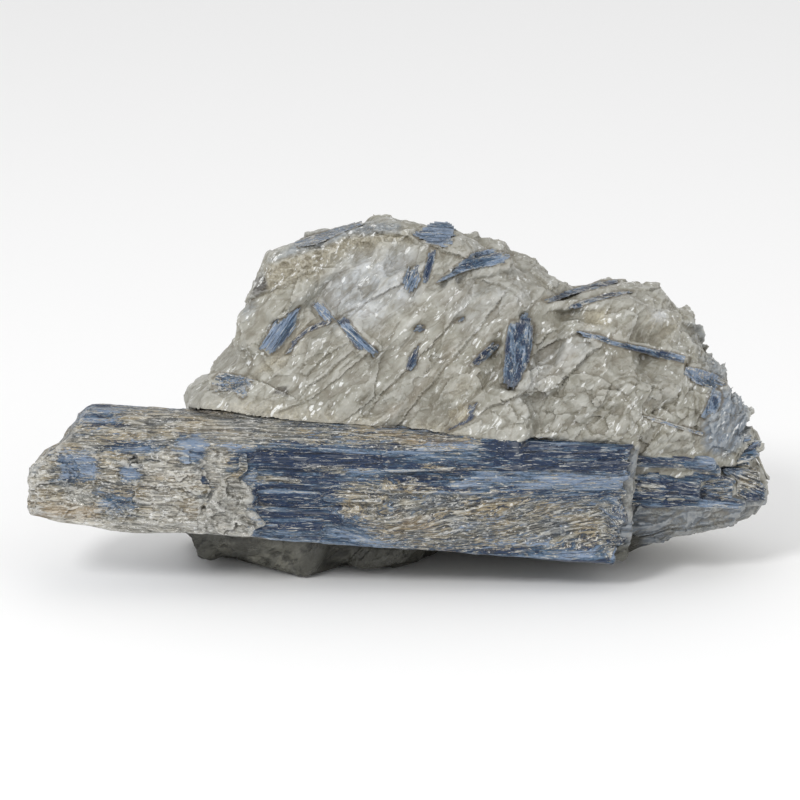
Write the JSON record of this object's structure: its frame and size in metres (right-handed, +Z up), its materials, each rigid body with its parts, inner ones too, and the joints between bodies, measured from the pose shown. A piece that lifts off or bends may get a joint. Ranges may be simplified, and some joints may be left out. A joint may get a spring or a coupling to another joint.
{
  "type": "kyanite blade cluster in quartz",
  "caption": "Mineral specimen: a long bundle of blue kyanite lamellae across the front of a broken grey-white quartz mass set with single kyanite blades; rests on its foot.",
  "frame": {"origin": "bottom centre of the box, on the flat of the foot", "axes": "+X to the right along the main blade, +Y back into the quartz, +Z up"},
  "size_m": [0.1966, 0.0692, 0.0929],
  "materials": {
    "quartz": "broken, translucent grey-white, glassy on fresh flats",
    "kyanite": "pearly, striated lengthwise, deep to mid blue",
    "pale_kyanite": "pearly, striated lengthwise, pale grey-blue",
    "mica": "tan crust with silvery glints",
    "silver_mica": "crumpled silver plates, pearly"
  },
  "bodies": {
    "root": {"back_blade_long": "kyanite", "back_blade_low": "kyanite", "back_blade_short": "kyanite", "centre_blade": "kyanite", "crack_blade": "kyanite", "crest_blade": "kyanite", "crest_patch_blade": "kyanite", "crystal_stub": "kyanite", "diagonal_blade_lower": "kyanite", "diagonal_blade_upper": "pale_kyanite", "edge_blade_lower": "kyanite", "edge_blade_upper": "pale_kyanite", "faint_blade": "pale_kyanite", "kinked_blade": "kyanite", "left_blade": "kyanite", "left_corner_blade": "pale_kyanite", "long_thin_blade": "kyanite", "main_blade": "kyanite", "mica_crust": "mica", "mica_plates": "silver_mica", "quartz_matrix": "quartz", "right_blade": "kyanite", "right_end_blade": "kyanite", "rim_blade": "kyanite", "spur_blades": "pale_kyanite", "thin_blade": "kyanite", "tiny_blade": "kyanite", "top_blade_left": "pale_kyanite", "top_blade_right": "kyanite", "upper_right_blade_inner": "kyanite", "upper_right_blade_outer": "kyanite", "upper_rim_blade": "kyanite"}
  },
  "joints": []
}
